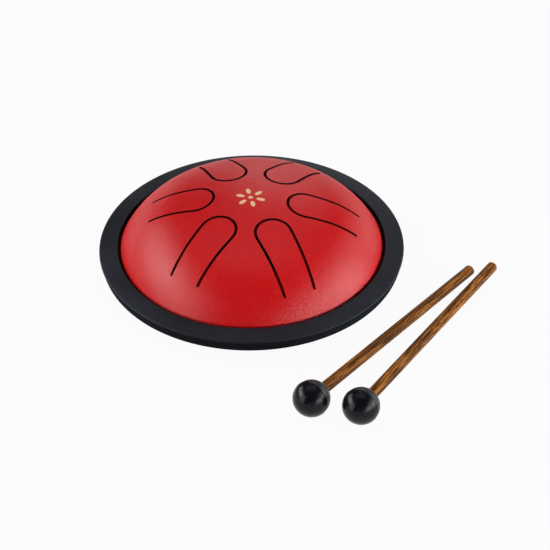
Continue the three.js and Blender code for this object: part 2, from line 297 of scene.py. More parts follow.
class Nodes:
    """Short ways to add and link shader nodes in one node tree."""

    def __init__(self, tree: bpy.types.NodeTree) -> None:
        """Keeps the tree that the nodes go into."""
        self.tree = tree

    def add(self, kind: str, **settings: object) -> bpy.types.Node:
        """Adds a node and sets its properties."""
        node = self.tree.nodes.new(kind)
        for name, value in settings.items():
            setattr(node, name, value)
        return node

    def link(self, source: bpy.types.NodeSocket, target: bpy.types.NodeSocket) -> None:
        """Links an output to an input."""
        self.tree.links.new(source, target)

    def put(self, target: bpy.types.NodeSocket, value: object) -> None:
        """Links a socket to an input, or sets the input to a plain value."""
        if isinstance(value, bpy.types.NodeSocket):
            self.link(value, target)
        else:
            target.default_value = value

    def math(self, operation: str, *values: object) -> bpy.types.NodeSocket:
        """A math node on sockets or numbers."""
        node = self.add("ShaderNodeMath", operation=operation)
        for target, value in zip(node.inputs, values):
            self.put(target, value)
        return node.outputs[0]

    def noise(
        self, vector: bpy.types.NodeSocket, scale: object, detail: float, rough: float
    ) -> bpy.types.NodeSocket:
        """A noise texture's grey value."""
        node = self.add("ShaderNodeTexNoise")
        node.inputs["Detail"].default_value = detail
        node.inputs["Roughness"].default_value = rough
        self.link(vector, node.inputs["Vector"])
        self.put(node.inputs["Scale"], scale)
        return node.outputs["Fac"]

    def spread(
        self,
        value: bpy.types.NodeSocket,
        low: object,
        high: object,
        into_low: object = 0.0,
        into_high: object = 1.0,
        smooth: bool = False,
    ) -> bpy.types.NodeSocket:
        """Maps one range of a value to another.

        Args:
            value: The value to map.
            low: Start of its range.
            high: End of its range.
            into_low: What the start becomes.
            into_high: What the end becomes.
            smooth: Whether the change eases in and out.

        Returns:
            The mapped value.
        """
        node = self.add("ShaderNodeMapRange")
        if smooth:
            node.interpolation_type = "SMOOTHSTEP"
        names = ("Value", "From Min", "From Max", "To Min", "To Max")
        for name, number in zip(names, (value, low, high, into_low, into_high)):
            self.put(node.inputs[name], number)
        return node.outputs["Result"]

    def mix(self, share: object, first: object, second: object) -> bpy.types.NodeSocket:
        """Mixes two colours, of which the first shows where the share is 0."""
        node = self.add("ShaderNodeMix", data_type="RGBA", blend_type="MIX")
        self.put(node.inputs["Factor"], share)
        colours = [socket for socket in node.inputs if socket.type == "RGBA"]
        for target, colour in zip(colours, (first, second)):
            self.put(target, colour if isinstance(colour, bpy.types.NodeSocket) else (*colour, 1.0))
        return next(socket for socket in node.outputs if socket.type == "RGBA")

    def bump(self, height: bpy.types.NodeSocket, distance: float) -> bpy.types.NodeSocket:
        """A bump node's normal, at its full strength."""
        node = self.add("ShaderNodeBump")
        node.inputs["Strength"].default_value = 1.0
        node.inputs["Distance"].default_value = distance
        self.link(height, node.inputs["Height"])
        return node.outputs["Normal"]


class Effects:
    """Surface effects that several finishes share, each a node group that is built once."""

    def __init__(self) -> None:
        """Builds the groups."""
        self.grain = self._grain()
        self.handling = self._handling()

    @staticmethod
    def _new(name: str, inputs: dict[str, float], outputs: list[str]) -> bpy.types.NodeTree:
        """Starts a group with a Vector input, number inputs and number outputs."""
        tree = bpy.data.node_groups.new(name, "ShaderNodeTree")
        tree.interface.new_socket("Vector", in_out="INPUT", socket_type="NodeSocketVector")
        for label, value in inputs.items():
            socket = tree.interface.new_socket(label, in_out="INPUT", socket_type="NodeSocketFloat")
            socket.default_value = value
        for label in outputs:
            tree.interface.new_socket(label, in_out="OUTPUT", socket_type="NodeSocketFloat")
        return tree

    @classmethod
    def _grain(cls) -> bpy.types.NodeTree:
        """Fine grain of a sprayed or moulded skin: a height, and a tone that follows it."""
        inputs = {"Fine Scale": 1500.0, "Broad Scale": 260.0, "Broad Share": 0.3}
        tree = cls._new("fine_grain", inputs, ["Height", "Tone"])
        n = Nodes(tree)
        given = n.add("NodeGroupInput")
        out = n.add("NodeGroupOutput")
        fine = n.noise(given.outputs["Vector"], given.outputs["Fine Scale"], detail=2.0, rough=0.55)
        broad = n.noise(given.outputs["Vector"], given.outputs["Broad Scale"], detail=1.0, rough=0.5)
        height = n.math("ADD", fine, n.math("MULTIPLY", broad, given.outputs["Broad Share"]))
        n.link(height, out.inputs["Height"])
        n.link(n.spread(fine, low=0.35, high=0.65, smooth=True), out.inputs["Tone"])
        return tree

    @classmethod
    def _handling(cls) -> bpy.types.NodeTree:
        """Soft uneven patches where a surface has been handled or has gathered a little dust."""
        tree = cls._new("handling", {"Patch Scale": 18.0, "Speck Scale": 420.0}, ["Patches", "Specks"])
        n = Nodes(tree)
        given = n.add("NodeGroupInput")
        out = n.add("NodeGroupOutput")
        patches = n.noise(given.outputs["Vector"], given.outputs["Patch Scale"], detail=4.0, rough=0.6)
        specks = n.noise(given.outputs["Vector"], given.outputs["Speck Scale"], detail=1.0, rough=0.5)
        n.link(n.spread(patches, low=0.35, high=0.7, smooth=True), out.inputs["Patches"])
        n.link(n.spread(specks, low=0.62, high=0.74, smooth=True), out.inputs["Specks"])
        return tree

    @staticmethod
    def use(
        n: Nodes, group: bpy.types.NodeTree, vector: bpy.types.NodeSocket, **values: float
    ) -> bpy.types.Node:
        """Places a group in a material with its own values.

        Args:
            n: The material's nodes.
            group: The group to place.
            vector: The coordinates that it reads.
            **values: Its inputs, with _ for a space.

        Returns:
            The group's node.
        """
        node = n.add("ShaderNodeGroup", node_tree=group)
        n.link(vector, node.inputs["Vector"])
        for label, value in values.items():
            node.inputs[label.replace("_", " ")].default_value = value
        return node


@dataclass(frozen=True)
class Finish:
    """What all finishes have in common."""

    name: str

    def begin(self) -> tuple[bpy.types.Material, Nodes, bpy.types.Node, bpy.types.NodeSocket]:
        """Starts a material.

        Returns:
            The material, its nodes, its shader and the object coordinates.
        """
        material = bpy.data.materials.new(self.name)
        material.use_nodes = True
        nodes = Nodes(material.node_tree)
        shader = material.node_tree.nodes["Principled BSDF"]
        return material, nodes, shader, nodes.add("ShaderNodeTexCoord").outputs["Object"]


@dataclass(frozen=True)
class SatinPaint(Finish):
    """Fine-textured powder coat with a small printed rosette on the crown, and a painted shade line at the
    dome's foot.
    """

    colour: Colour
    deep: Colour
    pale: Colour
    print_colour: Colour
    centre: Vector
    roughness: float = 0.26
    dulling: float = 0.22
    dull_from: float = 0.45
    dull_to: float = 0.8
    roughness_swing: float = 0.03
    ior: float = 1.3
    gloss: float = 0.7
    grain_height: float = 0.00022
    grain_scale: float = 1350.0
    swell_scale: float = 170.0
    swell_share: float = 0.05
    patch_scale: float = 14.0
    patch_share: float = 0.12
    speck_scale: float = 520.0
    speck_share: float = 0.22
    petal_reach: float = 0.0062
    petal_length: float = 0.0026
    petal_width: float = 0.0013
    petal_turn: float = 0.2
    petal_count: int = 6
    petal_soft: tuple[float, float] = (0.85, 1.1)
    dot_soft: tuple[float, float] = (0.9, 1.1)
    # painted shade: where the near-black line at the dome's foot starts and ends, how strong it is and its
    # colour
    shade_line_start: float = 0.0767
    shade_line_end: float = 0.0776
    shade_line_share: float = 0.8
    shade_line_colour: Colour = (0.006, 0.001, 0.001)

    def painted_shade_line(self, n: Nodes, vector: bpy.types.NodeSocket) -> bpy.types.NodeSocket:
        """Mask of the painted shade line at the dome's foot, beside the rubber ring.

        Args:
            n: The material's nodes.
            vector: Object coordinates.

        Returns:
            The mask, 1 on the painted shade line.
        """
        from_axis = n.add("ShaderNodeVectorMath", operation="SUBTRACT")
        from_axis.inputs[1].default_value = self.centre
        n.link(vector, from_axis.inputs[0])
        level = n.add("ShaderNodeVectorMath", operation="MULTIPLY")
        level.inputs[1].default_value = (1.0, 1.0, 0.0)
        n.link(from_axis.outputs["Vector"], level.inputs[0])
        reach = n.add("ShaderNodeVectorMath", operation="LENGTH")
        n.link(level.outputs["Vector"], reach.inputs[0])
        return n.spread(reach.outputs["Value"], self.shade_line_start, self.shade_line_end, smooth=True)

    def rosette(self, n: Nodes, vector: bpy.types.NodeSocket) -> bpy.types.NodeSocket:
        """Mask of the printed rosette: six petals round the crown.

        Args:
            n: The material's nodes.
            vector: Object coordinates.

        Returns:
            The mask, 1 on the print.
        """
        moved = n.add("ShaderNodeMapping", vector_type="TEXTURE")
        moved.inputs["Location"].default_value = self.centre
        moved.inputs["Rotation"].default_value = (0.0, 0.0, self.petal_turn)
        n.link(vector, moved.inputs["Vector"])
        parts = n.add("ShaderNodeSeparateXYZ")
        n.link(moved.outputs["Vector"], parts.inputs[0])
        x, y = parts.outputs["X"], parts.outputs["Y"]
        reach = n.math("SQRT", n.math("ADD", n.math("MULTIPLY", x, x), n.math("MULTIPLY", y, y)))
        angle = n.math("ARCTAN2", y, x)
        sector = 2 * math.pi / self.petal_count
        folded = n.math("SUBTRACT", n.math("FLOORED_MODULO", angle, sector), sector / 2)
        along = n.math("MULTIPLY", reach, n.math("COSINE", folded))
        along = n.math("DIVIDE", n.math("SUBTRACT", along, self.petal_reach), self.petal_length)
        across = n.math("DIVIDE", n.math("MULTIPLY", reach, n.math("SINE", folded)), self.petal_width)
        inside = n.math("ADD", n.math("MULTIPLY", along, along), n.math("MULTIPLY", across, across))
        petals = n.spread(inside, *self.petal_soft, into_low=1.0, into_high=0.0, smooth=True)
        edge = [self.petal_width * share for share in self.dot_soft]
        dot = n.spread(reach, *edge, into_low=1.0, into_high=0.0, smooth=True)
        return n.math("MAXIMUM", petals, dot)

    def build(self, effects: Effects, printed: bool) -> bpy.types.Material:
        """Makes the material.

        Args:
            effects: The shared effects.
            printed: Whether the rosette is on it.

        Returns:
            The material.
        """
        material, n, shader, vector = self.begin()
        grain = effects.use(
            n, effects.grain, vector,
            Fine_Scale=self.grain_scale, Broad_Scale=self.swell_scale, Broad_Share=self.swell_share,
        )
        handled = effects.use(
            n, effects.handling, vector, Patch_Scale=self.patch_scale, Speck_Scale=self.speck_scale
        )
        patches, specks = handled.outputs["Patches"], handled.outputs["Specks"]
        body = n.mix(grain.outputs["Tone"], self.deep, self.colour)
        body = n.mix(n.math("MULTIPLY", specks, self.speck_share), body, self.pale)
        body = n.mix(n.math("MULTIPLY", patches, self.patch_share), body, self.deep)
        # painted shade: the dome's foot turns near-black beside the ring
        painted_shade_line = n.math("MULTIPLY", self.painted_shade_line(n, vector), self.shade_line_share)
        body = n.mix(painted_shade_line, body, self.shade_line_colour)
        swing = self.roughness_swing
        rough = n.spread(patches, 0.0, 1.0, self.roughness - swing, self.roughness + swing)
        turned = n.add("ShaderNodeLayerWeight").outputs["Facing"]
        dull = n.spread(turned, self.dull_from, self.dull_to, into_high=self.dulling, smooth=True)
        rough = n.math("ADD", rough, dull)
        if printed:
            body = n.mix(self.rosette(n, vector), body, self.print_colour)
        n.link(body, shader.inputs["Base Color"])
        n.link(rough, shader.inputs["Roughness"])
        n.link(n.bump(grain.outputs["Height"], self.grain_height), shader.inputs["Normal"])
        shader.inputs["IOR"].default_value = self.ior
        shader.inputs["Specular IOR Level"].default_value = self.gloss
        return material


@dataclass(frozen=True)
class MouldedRubber(Finish):
    """Moulded rubber with a fine skin."""

    colour: Colour
    worn: Colour
    roughness: float
    gloss: float
    grain_scale: float
    grain_height: float
    wear: float
    ior: float = 1.5
    roughness_swing: float = 0.05
    swell_scale: float = 90.0
    swell_share: float = 0.2
    patch_scale: float = 22.0
    speck_scale: float = 700.0
    speck_share: float = 0.6
    grain_share: float = 0.5

    def build(self, effects: Effects) -> bpy.types.Material:
        """Makes the material.

        Args:
            effects: The shared effects.

        Returns:
            The material.
        """
        material, n, shader, vector = self.begin()
        grain = effects.use(
            n, effects.grain, vector,
            Fine_Scale=self.grain_scale, Broad_Scale=self.swell_scale, Broad_Share=self.swell_share,
        )
        handled = effects.use(
            n, effects.handling, vector, Patch_Scale=self.patch_scale, Speck_Scale=self.speck_scale
        )
        patches, specks = handled.outputs["Patches"], handled.outputs["Specks"]
        share = n.math("MULTIPLY", patches, self.wear)
        share = n.math("ADD", share, n.math("MULTIPLY", specks, self.wear * self.speck_share))
        share = n.math("ADD", share, n.math("MULTIPLY", grain.outputs["Tone"], self.wear * self.grain_share))
        n.link(n.mix(share, self.colour, self.worn), shader.inputs["Base Color"])
        swing = self.roughness_swing
        rough = n.spread(patches, 0.0, 1.0, self.roughness - swing, self.roughness + swing)
        n.link(rough, shader.inputs["Roughness"])
        n.link(n.bump(grain.outputs["Height"], self.grain_height), shader.inputs["Normal"])
        shader.inputs["IOR"].default_value = self.ior
        shader.inputs["Specular IOR Level"].default_value = self.gloss
        return material


@dataclass(frozen=True)
class Streaks:
    """Streaks along a grain: how fine and how short they are, and the values between which they come up."""

    scale: float
    pull: float
    detail: float
    low: float
    high: float


@dataclass(frozen=True)
class VarnishedWood(Finish):
    """Straight-grained brown wood under a thin varnish, with dark pores along the grain."""

    pale: Colour
    middle: Colour
    dark: Colour
    place: Matrix
    seed: float
    grain_tilt: float
    seed_way: tuple[float, float, float] = (1.0, 0.7, 1.3)
    bands: Streaks = Streaks(scale=650.0, pull=0.025, detail=2.0, low=0.38, high=0.64)
    veins: Streaks = Streaks(scale=1500.0, pull=0.02, detail=1.0, low=0.52, high=0.62)
    pores: Streaks = Streaks(scale=2300.0, pull=0.03, detail=1.0, low=0.54, high=0.62)
    fibre_rough: float = 0.6
    vein_share: float = 0.78
    pore_share: float = 0.7
    pore_depth: float = 0.6
    grain_height: float = 0.00002
    patch_scale: float = 30.0
    speck_scale: float = 600.0
    smoothest: float = 0.4
    roughest: float = 0.5
    ior: float = 1.2
    gloss: float = 0.4

    def grain(self, n: Nodes, vector: bpy.types.NodeSocket) -> bpy.types.NodeSocket:
        """Coordinates along the stick's grain.

        Args:
            n: The material's nodes.
            vector: Object coordinates.

        Returns:
            The coordinates, with the grain along Z.
        """
        along = n.add("ShaderNodeMapping", vector_type="TEXTURE")
        along.inputs["Location"].default_value = self.place.to_translation()
        along.inputs["Rotation"].default_value = self.place.to_euler("XYZ")
        n.link(vector, along.inputs["Vector"])
        moved = n.add("ShaderNodeMapping", vector_type="POINT")
        moved.inputs["Location"].default_value = [self.seed * share for share in self.seed_way]
        moved.inputs["Rotation"].default_value = (self.grain_tilt, -self.grain_tilt, 0.0)
        n.link(along.outputs["Vector"], moved.inputs["Vector"])
        return moved.outputs["Vector"]

    def drawn(self, n: Nodes, grain: bpy.types.NodeSocket, streaks: Streaks) -> bpy.types.NodeSocket:
        """Noise that is drawn out along the grain."""
        pulled = n.add("ShaderNodeVectorMath", operation="MULTIPLY")
        pulled.inputs[1].default_value = (1.0, 1.0, streaks.pull)
        n.link(grain, pulled.inputs[0])
        return n.noise(pulled.outputs["Vector"], streaks.scale, streaks.detail, self.fibre_rough)

    def build(self, effects: Effects) -> bpy.types.Material:
        """Makes the material, with its grain along the stick.

        Args:
            effects: The shared effects.

        Returns:
            The material.
        """
        material, n, shader, vector = self.begin()
        grain = self.grain(n, vector)
        bands, veins, pores = (self.drawn(n, grain, kind) for kind in (self.bands, self.veins, self.pores))
        tone = n.spread(bands, self.bands.low, self.bands.high, smooth=True)
        vein = n.spread(veins, self.veins.low, self.veins.high, into_high=self.vein_share, smooth=True)
        pore = n.spread(pores, self.pores.low, self.pores.high, smooth=True)
        body = n.mix(vein, n.mix(tone, self.middle, self.pale), self.dark)
        body = n.mix(n.math("MULTIPLY", pore, self.pore_share), body, self.dark)
        n.link(body, shader.inputs["Base Color"])
        handled = effects.use(
            n, effects.handling, vector, Patch_Scale=self.patch_scale, Speck_Scale=self.speck_scale
        )
        rough = n.spread(handled.outputs["Patches"], 0.0, 1.0, self.smoothest, self.roughest)
        n.link(rough, shader.inputs["Roughness"])
        height = n.math("SUBTRACT", bands, n.math("MULTIPLY", pore, self.pore_depth))
        n.link(n.bump(height, self.grain_height), shader.inputs["Normal"])
        shader.inputs["IOR"].default_value = self.ior
        shader.inputs["Specular IOR Level"].default_value = self.gloss
        return material


@dataclass(frozen=True)
class DomeShape:
    """The pressed dome: a flat crown and a rounder shoulder that meet smoothly, and a flange."""

    axis: Vector
    flange_height: float
    radius: float = 0.0793
    flange_radius: float = 0.0866
    rise: float = 0.0378
    sheet: float = 0.0012
    bend: float = 0.0008
    crown_flatness: float = 1.4545
    shoulder_share: float = 0.5587

    @property
    def crown_radius(self) -> float:
        """Radius of the crown's arc."""
        return self._sphere * self.crown_flatness

    @property
    def shoulder_radius(self) -> float:
        """Radius of the shoulder's arc."""
        return self._sphere * self.shoulder_share

    @property
    def _sphere(self) -> float:
        """Radius of the one sphere that would span the dome."""
        return (self.radius**2 + self.rise**2) / (2 * self.rise)

    @property
    def crown(self) -> tuple[float, float]:
        """Middle of the crown's arc."""
        return 0.0, self.flange_height + self.rise - self.crown_radius

    @property
    def bend_middle(self) -> tuple[float, float]:
        """Middle of the bend at the dome's foot."""
        return self.radius, self.flange_height + self.bend

    @property
    def shoulder(self) -> tuple[float, float]:
        """Middle of the shoulder's arc, which touches both the crown and the bend."""
        crown = Vector(self.crown)
        span = Vector(self.bend_middle) - crown
        from_crown = self.crown_radius - self.shoulder_radius
        from_bend = self.shoulder_radius + self.bend
        along = (from_crown**2 - from_bend**2 + span.length_squared) / (2 * span.length)
        aside = math.sqrt(from_crown**2 - along**2)
        ahead = span.normalized()
        return crown.x + ahead.x * along - ahead.y * aside, crown.y + ahead.y * along + ahead.x * aside

    @property
    def blend_angle(self) -> float:
        """Angle at which the crown gives way to the shoulder."""
        return math.atan2(self.shoulder[1] - self.crown[1], self.shoulder[0])

    @property
    def foot_angle(self) -> float:
        """Angle at which the shoulder gives way to the bend."""
        middle = self.bend_middle
        return math.atan2(middle[1] - self.shoulder[1], middle[0] - self.shoulder[0])

    def angle(self, reach: float) -> float:
        """Angle of the surface's normal above the horizon, at a distance from the axis."""
        if reach <= self.crown_radius * math.cos(self.blend_angle):
            return math.acos(reach / self.crown_radius)
        return math.acos(min(1.0, (reach - self.shoulder[0]) / self.shoulder_radius))

    def height(self, reach: float) -> float:
        """Height of the outside at a distance from the axis."""
        angle = self.angle(reach)
        if reach <= self.crown_radius * math.cos(self.blend_angle):
            return self.crown[1] + self.crown_radius * math.sin(angle)
        return self.shoulder[1] + self.shoulder_radius * math.sin(angle)

    def spot(self, along: float, across: float) -> Vector:
        """Point of the outside over a point of the plan, measured from the drum's axis."""
        return Vector((along, across, self.height(math.hypot(along, across))))

    def normal(self, spot: Vector) -> Vector:
        """Direction straight out of the dome at a point measured from the drum's axis."""
        reach = math.hypot(spot.x, spot.y)
        angle = self.angle(reach)
        level = math.cos(angle) / max(reach, TINY)
        return Vector((spot.x * level, spot.y * level, math.sin(angle)))

    def off_surface(self, spot: Vector) -> float:
        """Distance of a point from the dome's outside, measured from the drum's axis."""
        reach = math.hypot(spot.x, spot.y)
        crown, shoulder = Vector(self.crown), Vector(self.shoulder)
        here = Vector((reach, spot.z))
        if reach <= self.crown_radius * math.cos(self.blend_angle):
            return abs((here - crown).length - self.crown_radius)
        return abs((here - shoulder).length - self.shoulder_radius)


@dataclass(frozen=True)
class Tongue:
    """One tongue in plan: its middle line runs from the drum's axis out to its root."""

    number: int
    turn: float
    start: float
    root: float
    rounding: float
    root_width_share: float = 0.877
    slot: float = 0.00165

    @property
    def tip(self) -> float:
        """Distance of the middle of the round tip from the drum's axis."""
        return self.start + self.rounding

    @property
    def root_half_width(self) -> float:
        """Half width between the slot's middle lines at the root."""
        return self.rounding * self.root_width_share

    @property
    def lean(self) -> float:
        """Lean of the sides, which draw together towards the root."""
        run = self.root - self.tip
        whole = math.asin(self.rounding / math.hypot(run, self.root_half_width))
        return whole - math.atan2(self.root_half_width, run)

    def side(self, rounding: float, along: float) -> float:
        """Half width of an outline of a given tip rounding, on its straight side."""
        return (rounding - (along - self.tip) * math.sin(self.lean)) / math.cos(self.lean)

    def plan(self, along: float, across: float) -> tuple[float, float]:
        """Turns a point of the tongue's own plan into the drum's."""
        cos, sin = math.cos(self.turn), math.sin(self.turn)
        return along * cos - across * sin, along * sin + across * cos

    def flank(self, rounding: float, steps: int, end: float) -> list[tuple[float, float]]:
        """Evenly spaced points from the very tip along one side of an outline.

        Args:
            rounding: Radius of the outline's round tip.
            steps: Number of straight pieces.
            end: Where the straight side ends along the tongue.

        Returns:
            Points of the tongue's plan, on its positive side.
        """
        sweep = math.pi / 2 + self.lean
        begin = self.tip + rounding * math.sin(self.lean)
        straight = (end - begin) / math.cos(self.lean)
        whole = rounding * sweep + straight
        points = []
        for step in range(steps + 1):
            gone = whole * step / steps
            if gone <= rounding * sweep:
                turn = math.pi - gone / rounding
                points.append((self.tip + rounding * math.cos(turn), rounding * math.sin(turn)))
            else:
                along = begin + (gone - rounding * sweep) * math.cos(self.lean)
                points.append((along, self.side(rounding, along)))
        return points

    def root_line(self, steps: int) -> list[tuple[float, float]]:
        """Points across the root, from the positive side of the tongue to the negative one."""
        half = self.side(self.rounding - self.slot / 2, self.root)
        return [(self.root, half - 2 * half * step / steps) for step in range(steps + 1)]

    def at_root(self, spot: Vector, gap: float) -> bool:
        """Whether a point lies on the root line, or short of it by a gap."""
        along = spot.x * math.cos(self.turn) + spot.y * math.sin(self.turn)
        across = -spot.x * math.sin(self.turn) + spot.y * math.cos(self.turn)
        half = self.side(self.rounding - self.slot / 2, self.root)
        return abs(along - self.root) < gap + WELD and abs(across) < half + WELD

    def slot_end(self, steps: int) -> list[tuple[float, float]]:
        """Points round the slot's end on the positive side, from its outer to its inner edge."""
        start = math.pi / 2 - self.lean
        middle = (self.root, self.root_half_width)
        return arc(middle, self.slot / 2, start, start - math.pi, steps)


@dataclass
class UpperShell:
    """The dome with its slots, and the six tongues that lie in them."""

    shape: DomeShape
    notes: tuple[int, ...] = (0, 4, 9, 12, 7, 2)
    first_turn: float = math.radians(-66.55)
    tip_share: float = 0.275
    root_share: float = 0.8487
    rounding_share: float = 0.1337
    half_length_semitones: float = 24.0
    sector_radius: float = 0.0722
    seam_steps: int = 30
    sector_steps: int = 112
    root_steps: int = 24
    end_steps: int = 4
    sector_rows: int = 12
    tongue_rows: int = 36
    bend_steps: int = 4
    skirt_steps: int = 8
    edge_width: float = 0.00014
    edge_segments: int = 2
    root_gap: float = 0.00001
    root_undercut: float = 0.00008
    wall_spread: float = math.radians(40)
    edge_angle: float = math.radians(50)
    shading_angle: float = math.radians(30)

    def tongues(self) -> list[Tongue]:
        """The tongues, each as long as its note asks."""
        start = self.shape.radius * self.tip_share
        longest = self.shape.radius * self.root_share - start
        sixth = 2 * math.pi / len(self.notes)
        return [
            Tongue(
                number=place + 1,
                turn=self.first_turn + sixth * place,
                start=start,
                root=start + longest * 2 ** (-note / self.half_length_semitones),
                rounding=self.shape.radius * self.rounding_share,
            )
            for place, note in enumerate(self.notes)
        ]

    def _sector(self, tongue: Tongue) -> bpy.types.Object:
        """One sixth of the dome, with the window of its tongue left open."""
        aside = (self.sector_steps - self.root_steps - 2 * self.end_steps) // 2
        flank = tongue.flank(tongue.rounding + tongue.slot / 2, self.seam_steps + aside, tongue.root)
        end = tongue.slot_end(self.end_steps)
        mirrored = [(along, -across) for along, across in end]
        window = flank + end[1:-1] + tongue.root_line(self.root_steps) + mirrored[-2::-1]
        window += [(along, -across) for along, across in flank[-2::-1]]
        half = math.pi / len(self.notes)
        side = [self.sector_radius * step / self.seam_steps for step in range(self.seam_steps + 1)]
        turns = [half - 2 * half * step / self.sector_steps for step in range(1, self.sector_steps)]
        border = [(reach * math.cos(half), reach * math.sin(half)) for reach in side]
        border += [(self.sector_radius * math.cos(t), self.sector_radius * math.sin(t)) for t in turns]
        border += [(reach * math.cos(half), -reach * math.sin(half)) for reach in side[::-1]]

        def place(column: int, row: int) -> Vector:
            """Spot of a corner between the window and the sector's border."""
            share = row / self.sector_rows
            inner, outer = window[column], border[column]
            along = inner[0] + (outer[0] - inner[0]) * share
            across = inner[1] + (outer[1] - inner[1]) * share
            return self.shape.spot(*tongue.plan(along, across))

        return Bench.laid(f"sector_{tongue.number}", len(window) - 1, self.sector_rows, place)

    def _skirt(self) -> bpy.types.Object:
        """The rest of the dome below the sectors, with its bend and flange."""
        shape = self.shape
        start = shape.angle(self.sector_radius)
        line = arc(shape.shoulder, shape.shoulder_radius, start, shape.foot_angle, self.skirt_steps)
        foot = arc(shape.bend_middle, shape.bend, shape.foot_angle - math.pi, -math.pi / 2, self.bend_steps)
        line += foot[1:]
        line.append((shape.flange_radius, shape.flange_height))
        steps = len(self.notes) * self.sector_steps
        turn = self.first_turn - math.pi / len(self.notes)
        return Bench.turned("skirt", line, steps, turn=turn)

    def _blade(self, tongue: Tongue) -> bpy.types.Object:
        """One tongue's sheet."""
        rounding = tongue.rounding - tongue.slot / 2
        root = [(along - self.root_gap, across) for along, across in tongue.root_line(self.root_steps)]
        sweep = math.pi / 2 + tongue.lean

        def place(column: int, row: int) -> Vector:
            """Spot of a corner between the root and the round tip."""
            turn = math.pi - sweep * (1 - 2 * column / self.root_steps)
            tip = (tongue.tip + rounding * math.cos(turn), rounding * math.sin(turn))
            share = row / self.tongue_rows
            along = root[column][0] + (tip[0] - root[column][0]) * share
            across = root[column][1] + (tip[1] - root[column][1]) * share
            return self.shape.spot(*tongue.plan(along, across))

        return Bench.laid(f"tongue_blade_{tongue.number}", self.root_steps, self.tongue_rows, place)

    def _clear_root(self, blade: bpy.types.Object, tongue: Tongue) -> None:
        """Draws the lower edge of a tongue's root back, so that the tongue moves clear of the shell."""
        Bench.edit(blade)
        bpy.ops.mesh.select_all(action="DESELECT")
        bpy.ops.mesh.select_mode(type="VERT")
        body = bmesh.from_edit_mesh(blade.data)
        for edge in body.edges:
            lower, upper = sorted(edge.verts, key=lambda corner: corner.co.z)
            inside = self.shape.off_surface(lower.co) > self.shape.sheet / 2
            if inside and tongue.at_root(upper.co, self.root_gap):
                lower.select_set(True)
        bmesh.update_edit_mesh(blade.data)
        back = Vector((math.cos(tongue.turn), math.sin(tongue.turn), 0.0)) * -self.root_undercut
        bpy.ops.transform.translate(value=back)
        bpy.ops.object.mode_set(mode="OBJECT")

    def _soft_edges(self, piece: bpy.types.Object, tongues: list[Tongue]) -> None:
        """Takes the sharpness off the slots' upper edges, apart from the roots."""

        def wanted(edge: bmesh.types.BMEdge) -> bool:
            """Whether an edge is a slot's upper edge."""
            if len(edge.link_faces) != 2 or edge.calc_face_angle() < self.edge_angle:
                return False
            spots = [corner.co for corner in edge.verts]
            if any(math.hypot(spot.x, spot.y) > self.sector_radius for spot in spots):
                return False
            if any(self.shape.off_surface(spot) > WELD for spot in spots):
                return False
            return not any(tongue.at_root(spot, self.root_gap) for tongue in tongues for spot in spots)

        Bench.softened(piece, self.edge_width, self.edge_segments, wanted)

    def _true_normals(self, piece: bpy.types.Object) -> None:
        """Shades the outside by the dome's own curve, so that a tongue runs into the shell unseen."""
        mesh = piece.data
        normals = [Vector(corner.vector) for corner in mesh.corner_normals]
        for face in mesh.polygons:
            for loop in face.loop_indices:
                spot = mesh.vertices[mesh.loops[loop].vertex_index].co
                if math.hypot(spot.x, spot.y) > self.shape.radius - self.shape.bend:
                    continue
                if self.shape.off_surface(spot) < 2 * WELD:
                    true = self.shape.normal(spot)
                    if true.angle(face.normal) < self.shading_angle:
                        normals[loop] = true
        mesh.normals_split_custom_set(normals)

    def _thick(self, piece: bpy.types.Object) -> None:
        """Turns a sheet's outside up and gives it its thickness."""
        Bench.edit(piece)
        bpy.ops.mesh.normals_make_consistent(inside=False)
        bpy.ops.object.mode_set(mode="OBJECT")
        if sum(face.normal.z for face in piece.data.polygons) < 0:
            Bench.edit(piece)
            bpy.ops.mesh.flip_normals()
            bpy.ops.object.mode_set(mode="OBJECT")
        Bench.thickened(piece, self.shape.sheet)

    def _finished(self, piece: bpy.types.Object, tongues: list[Tongue]) -> None:
        """Gives a thick sheet its soft edges, shading and place."""
        self._soft_edges(piece, tongues)
        Bench.smoothed(piece)
        self._true_normals(piece)
        Bench.placed(piece, Matrix.Translation(self.shape.axis))

    def _dark_walls(self, piece: bpy.types.Object, cut: bpy.types.Material) -> None:
        """Gives the walls of the slots the finish of a bare cut."""
        piece.data.materials.append(cut)
        for face in piece.data.polygons:
            spot = face.center - self.shape.axis
            if math.hypot(spot.x, spot.y) > self.sector_radius:
                continue
            if abs(math.pi / 2 - self.shape.normal(spot).angle(face.normal)) < self.wall_spread:
                face.material_index = 1

    def build(self, printed: bpy.types.Material, plain: bpy.types.Material, cut: bpy.types.Material) -> None:
        """Makes and dresses the shell and its tongues.

        Args:
            printed: Paint with the rosette, for the shell.
            plain: Paint for the tongues.
            cut: Finish of the slots' walls.
        """
        tongues = self.tongues()
        sheets = [self._sector(tongue) for tongue in tongues]
        shell = Bench.joined("dome_shell", [*sheets, self._skirt()])
        self._thick(shell)
        self._finished(shell, tongues)
        hand_over(shell, "top_shell", "drum", Slot.PAINTED_STEEL, printed)
        self._dark_walls(shell, cut)
        for tongue in tongues:
            blade = self._blade(tongue)
            self._thick(blade)
            self._clear_root(blade, tongue)
            self._finished(blade, [tongue])
            node = f"tongue_{tongue.number}"
            hand_over(blade, node, node, Slot.PAINTED_STEEL, plain)
            self._dark_walls(blade, cut)


